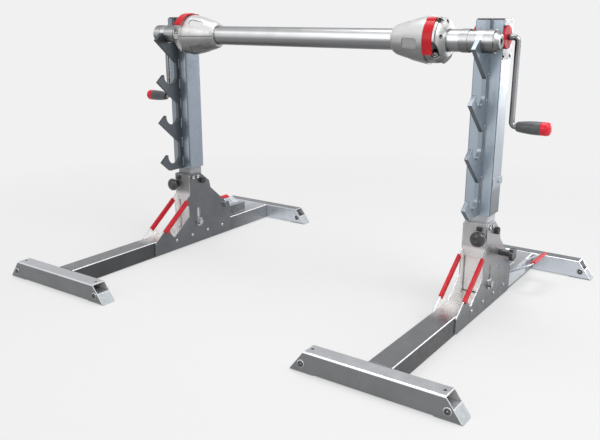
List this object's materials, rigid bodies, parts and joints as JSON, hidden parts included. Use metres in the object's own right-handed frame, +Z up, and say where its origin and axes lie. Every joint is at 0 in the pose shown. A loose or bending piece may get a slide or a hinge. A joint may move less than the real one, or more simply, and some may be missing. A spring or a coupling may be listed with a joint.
{
  "type": "cable drum jack",
  "caption": "Folding lift stands with hook rails and crank handles that carry a tubular drum axle with split centring cones and clamp levers.",
  "frame": {"origin": "on the ground, at the bottom centre of the whole jack, below the middle of the axle", "axes": "+X along the axle to the right stand, -Y to the hook side that faces the viewer, +Z up"},
  "size_m": [1.627, 1.129, 0.8596],
  "materials": {
    "beam_steel": "zinc plated sheet, satin",
    "black_plastic": "semi gloss",
    "black_rubber": "matt",
    "brass": "machined",
    "cast_aluminium": "fine cast, tumbled",
    "chrome": "polished",
    "dark_grip": "fine textured",
    "dark_steel": "dark plated steel, satin",
    "galvanised": "galvanised, dull spangle",
    "pad_rubber": "pale, slightly cloudy",
    "red_plastic": "gloss",
    "red_sleeve": "soft satin",
    "red_steel": "glossy paint",
    "slide_pad": "waxy",
    "turned_steel": "turned"
  },
  "bodies": {
    "base": {"foot_pads": "pad_rubber", "bridge_plates": "beam_steel", "rear_handles": "beam_steel", "lock_housings": "black_plastic", "base_fasteners": "chrome", "rubber_buffers": "black_rubber", "handle_grips": "red_sleeve", "front_foot_left": "beam_steel", "rear_foot_left": "beam_steel", "base_beam_left": "beam_steel", "cheek_inner_left": "dark_steel", "cheek_outer_left": "dark_steel", "front_foot_right": "beam_steel", "rear_foot_right": "beam_steel", "base_beam_right": "beam_steel", "cheek_inner_right": "dark_steel", "cheek_outer_right": "dark_steel"},
    "pivot_left": {"pivot_bolt_left": "chrome"},
    "mast_left": {"inner_mast_left": "galvanised", "mast_pads_left": "slide_pad", "spindle_nut_left": "brass"},
    "sleeve_left": {"outer_sleeve_left": "galvanised", "sleeve_pads_left": "slide_pad", "hook_rail_left": "dark_steel", "top_cap_left": "black_plastic", "gear_covers_left": "beam_steel", "crank_discs_left": "red_plastic"},
    "crank_left": {"crank_left": "chrome"},
    "grip_left": {"crank_grip_left": "dark_grip", "grip_cap_left": "red_plastic"},
    "spindle_left": {"spindle_left": "turned_steel"},
    "front_lock_left": {"front_lock_left": "black_plastic"},
    "fold_lock_left": {"fold_lock_left": "black_plastic"},
    "cone_left": {"cone_lever_half_left": "cast_aluminium", "cone_plain_half_left": "cast_aluminium", "cone_screws_left": "chrome"},
    "lever_left": {"clamp_lever_left": "red_steel"},
    "pivot_right": {"pivot_bolt_right": "chrome"},
    "mast_right": {"inner_mast_right": "galvanised", "mast_pads_right": "slide_pad", "spindle_nut_right": "brass"},
    "sleeve_right": {"outer_sleeve_right": "galvanised", "sleeve_pads_right": "slide_pad", "hook_rail_right": "dark_steel", "top_cap_right": "black_plastic", "gear_covers_right": "beam_steel", "crank_discs_right": "red_plastic"},
    "crank_right": {"crank_right": "chrome"},
    "grip_right": {"crank_grip_right": "dark_grip", "grip_cap_right": "red_plastic"},
    "spindle_right": {"spindle_right": "turned_steel"},
    "front_lock_right": {"front_lock_right": "black_plastic"},
    "fold_lock_right": {"fold_lock_right": "black_plastic"},
    "cone_right": {"cone_lever_half_right": "cast_aluminium", "cone_plain_half_right": "cast_aluminium", "cone_screws_right": "chrome"},
    "lever_right": {"clamp_lever_right": "red_steel"},
    "axle_carrier": {"axle_bearings": "turned_steel"},
    "axle": {"axle_tube": "turned_steel", "axle_ends": "chrome"}
  },
  "joints": [
    {"name": "pivot_rise_left", "type": "slide", "parent": "base", "child": "pivot_left", "axis": [0, 0, 1], "range_m": [0, 0.05]},
    {"name": "mast_fold_left", "type": "hinge", "parent": "pivot_left", "child": "mast_left", "pos_m": [-0.5815, 0.0855, 0.085], "axis": [-1, 0, 0], "range_deg": [0, 90]},
    {"name": "sleeve_lift_left", "type": "slide", "parent": "mast_left", "child": "sleeve_left", "axis": [0, 0, 1], "range_m": [0, 0.16]},
    {"name": "crank_turn_left", "type": "hinge", "parent": "sleeve_left", "child": "crank_left", "pos_m": [-0.5815, 0.068, 0.797], "axis": [1, 0, 0], "range_deg": [0, 7200]},
    {"name": "grip_spin_left", "type": "hinge", "parent": "crank_left", "child": "grip_left", "pos_m": [-0.7015, 0.068, 0.56], "axis": [1, 0, 0], "continuous": true},
    {"name": "spindle_turn_left", "type": "hinge", "parent": "sleeve_left", "child": "spindle_left", "pos_m": [-0.5815, 0.068, 0.74], "axis": [0, 0, 1], "range_deg": [-7200, 0]},
    {"name": "front_lock_push_left", "type": "slide", "parent": "base", "child": "front_lock_left", "axis": [0, 1, 0], "range_m": [0, 0.011]},
    {"name": "fold_lock_pull_left", "type": "slide", "parent": "base", "child": "fold_lock_left", "axis": [-1, 0, 0], "range_m": [0, 0.03]},
    {"name": "pivot_rise_right", "type": "slide", "parent": "base", "child": "pivot_right", "axis": [0, 0, 1], "range_m": [0, 0.05]},
    {"name": "mast_fold_right", "type": "hinge", "parent": "pivot_right", "child": "mast_right", "pos_m": [0.5815, 0.0855, 0.085], "axis": [-1, 0, 0], "range_deg": [0, 90]},
    {"name": "sleeve_lift_right", "type": "slide", "parent": "mast_right", "child": "sleeve_right", "axis": [0, 0, 1], "range_m": [0, 0.16]},
    {"name": "crank_turn_right", "type": "hinge", "parent": "sleeve_right", "child": "crank_right", "pos_m": [0.5815, 0.068, 0.797], "axis": [1, 0, 0], "range_deg": [0, 7200]},
    {"name": "grip_spin_right", "type": "hinge", "parent": "crank_right", "child": "grip_right", "pos_m": [0.7015, 0.068, 0.56], "axis": [1, 0, 0], "continuous": true},
    {"name": "spindle_turn_right", "type": "hinge", "parent": "sleeve_right", "child": "spindle_right", "pos_m": [0.5815, 0.068, 0.74], "axis": [0, 0, 1], "range_deg": [0, 7200]},
    {"name": "front_lock_push_right", "type": "slide", "parent": "base", "child": "front_lock_right", "axis": [0, 1, 0], "range_m": [0, 0.011]},
    {"name": "fold_lock_pull_right", "type": "slide", "parent": "base", "child": "fold_lock_right", "axis": [1, 0, 0], "range_m": [0, 0.03]},
    {"name": "axle_lift_out", "type": "slide", "parent": "sleeve_left", "child": "axle_carrier", "axis": [0, 0, 1], "range_m": [0, 0.045]},
    {"name": "axle_turn", "type": "hinge", "parent": "axle_carrier", "child": "axle", "pos_m": [0, 0, 0.788], "axis": [1, 0, 0], "continuous": true},
    {"name": "cone_slide_left", "type": "slide", "parent": "axle", "child": "cone_left", "axis": [-1, 0, 0], "range_m": [-0.233, 0.022]},
    {"name": "lever_open_left", "type": "hinge", "parent": "cone_left", "child": "lever_left", "pos_m": [-0.46325, 0.01784, 0.84633], "axis": [-1, 0, 0], "range_deg": [-10, 70]},
    {"name": "cone_slide_right", "type": "slide", "parent": "axle", "child": "cone_right", "axis": [1, 0, 0], "range_m": [-0.22, 0.035]},
    {"name": "lever_open_right", "type": "hinge", "parent": "cone_right", "child": "lever_right", "pos_m": [0.45025, -0.03322, 0.83916], "axis": [-1, 0, 0], "range_deg": [0, 80]}
  ],
  "couplings": [
    {"joint": "mast_fold_right", "follows": "mast_fold_left", "ratio": 1},
    {"joint": "pivot_rise_left", "follows": "mast_fold_left", "m_per_rad": 0.031831},
    {"joint": "pivot_rise_right", "follows": "mast_fold_left", "m_per_rad": 0.031831},
    {"joint": "sleeve_lift_left", "follows": "crank_turn_left", "m_per_rad": 0.0012732},
    {"joint": "sleeve_lift_right", "follows": "crank_turn_left", "m_per_rad": 0.0012732},
    {"joint": "spindle_turn_left", "follows": "crank_turn_left", "ratio": -1},
    {"joint": "crank_turn_right", "follows": "crank_turn_left", "ratio": 1},
    {"joint": "spindle_turn_right", "follows": "crank_turn_left", "ratio": 1}
  ]
}
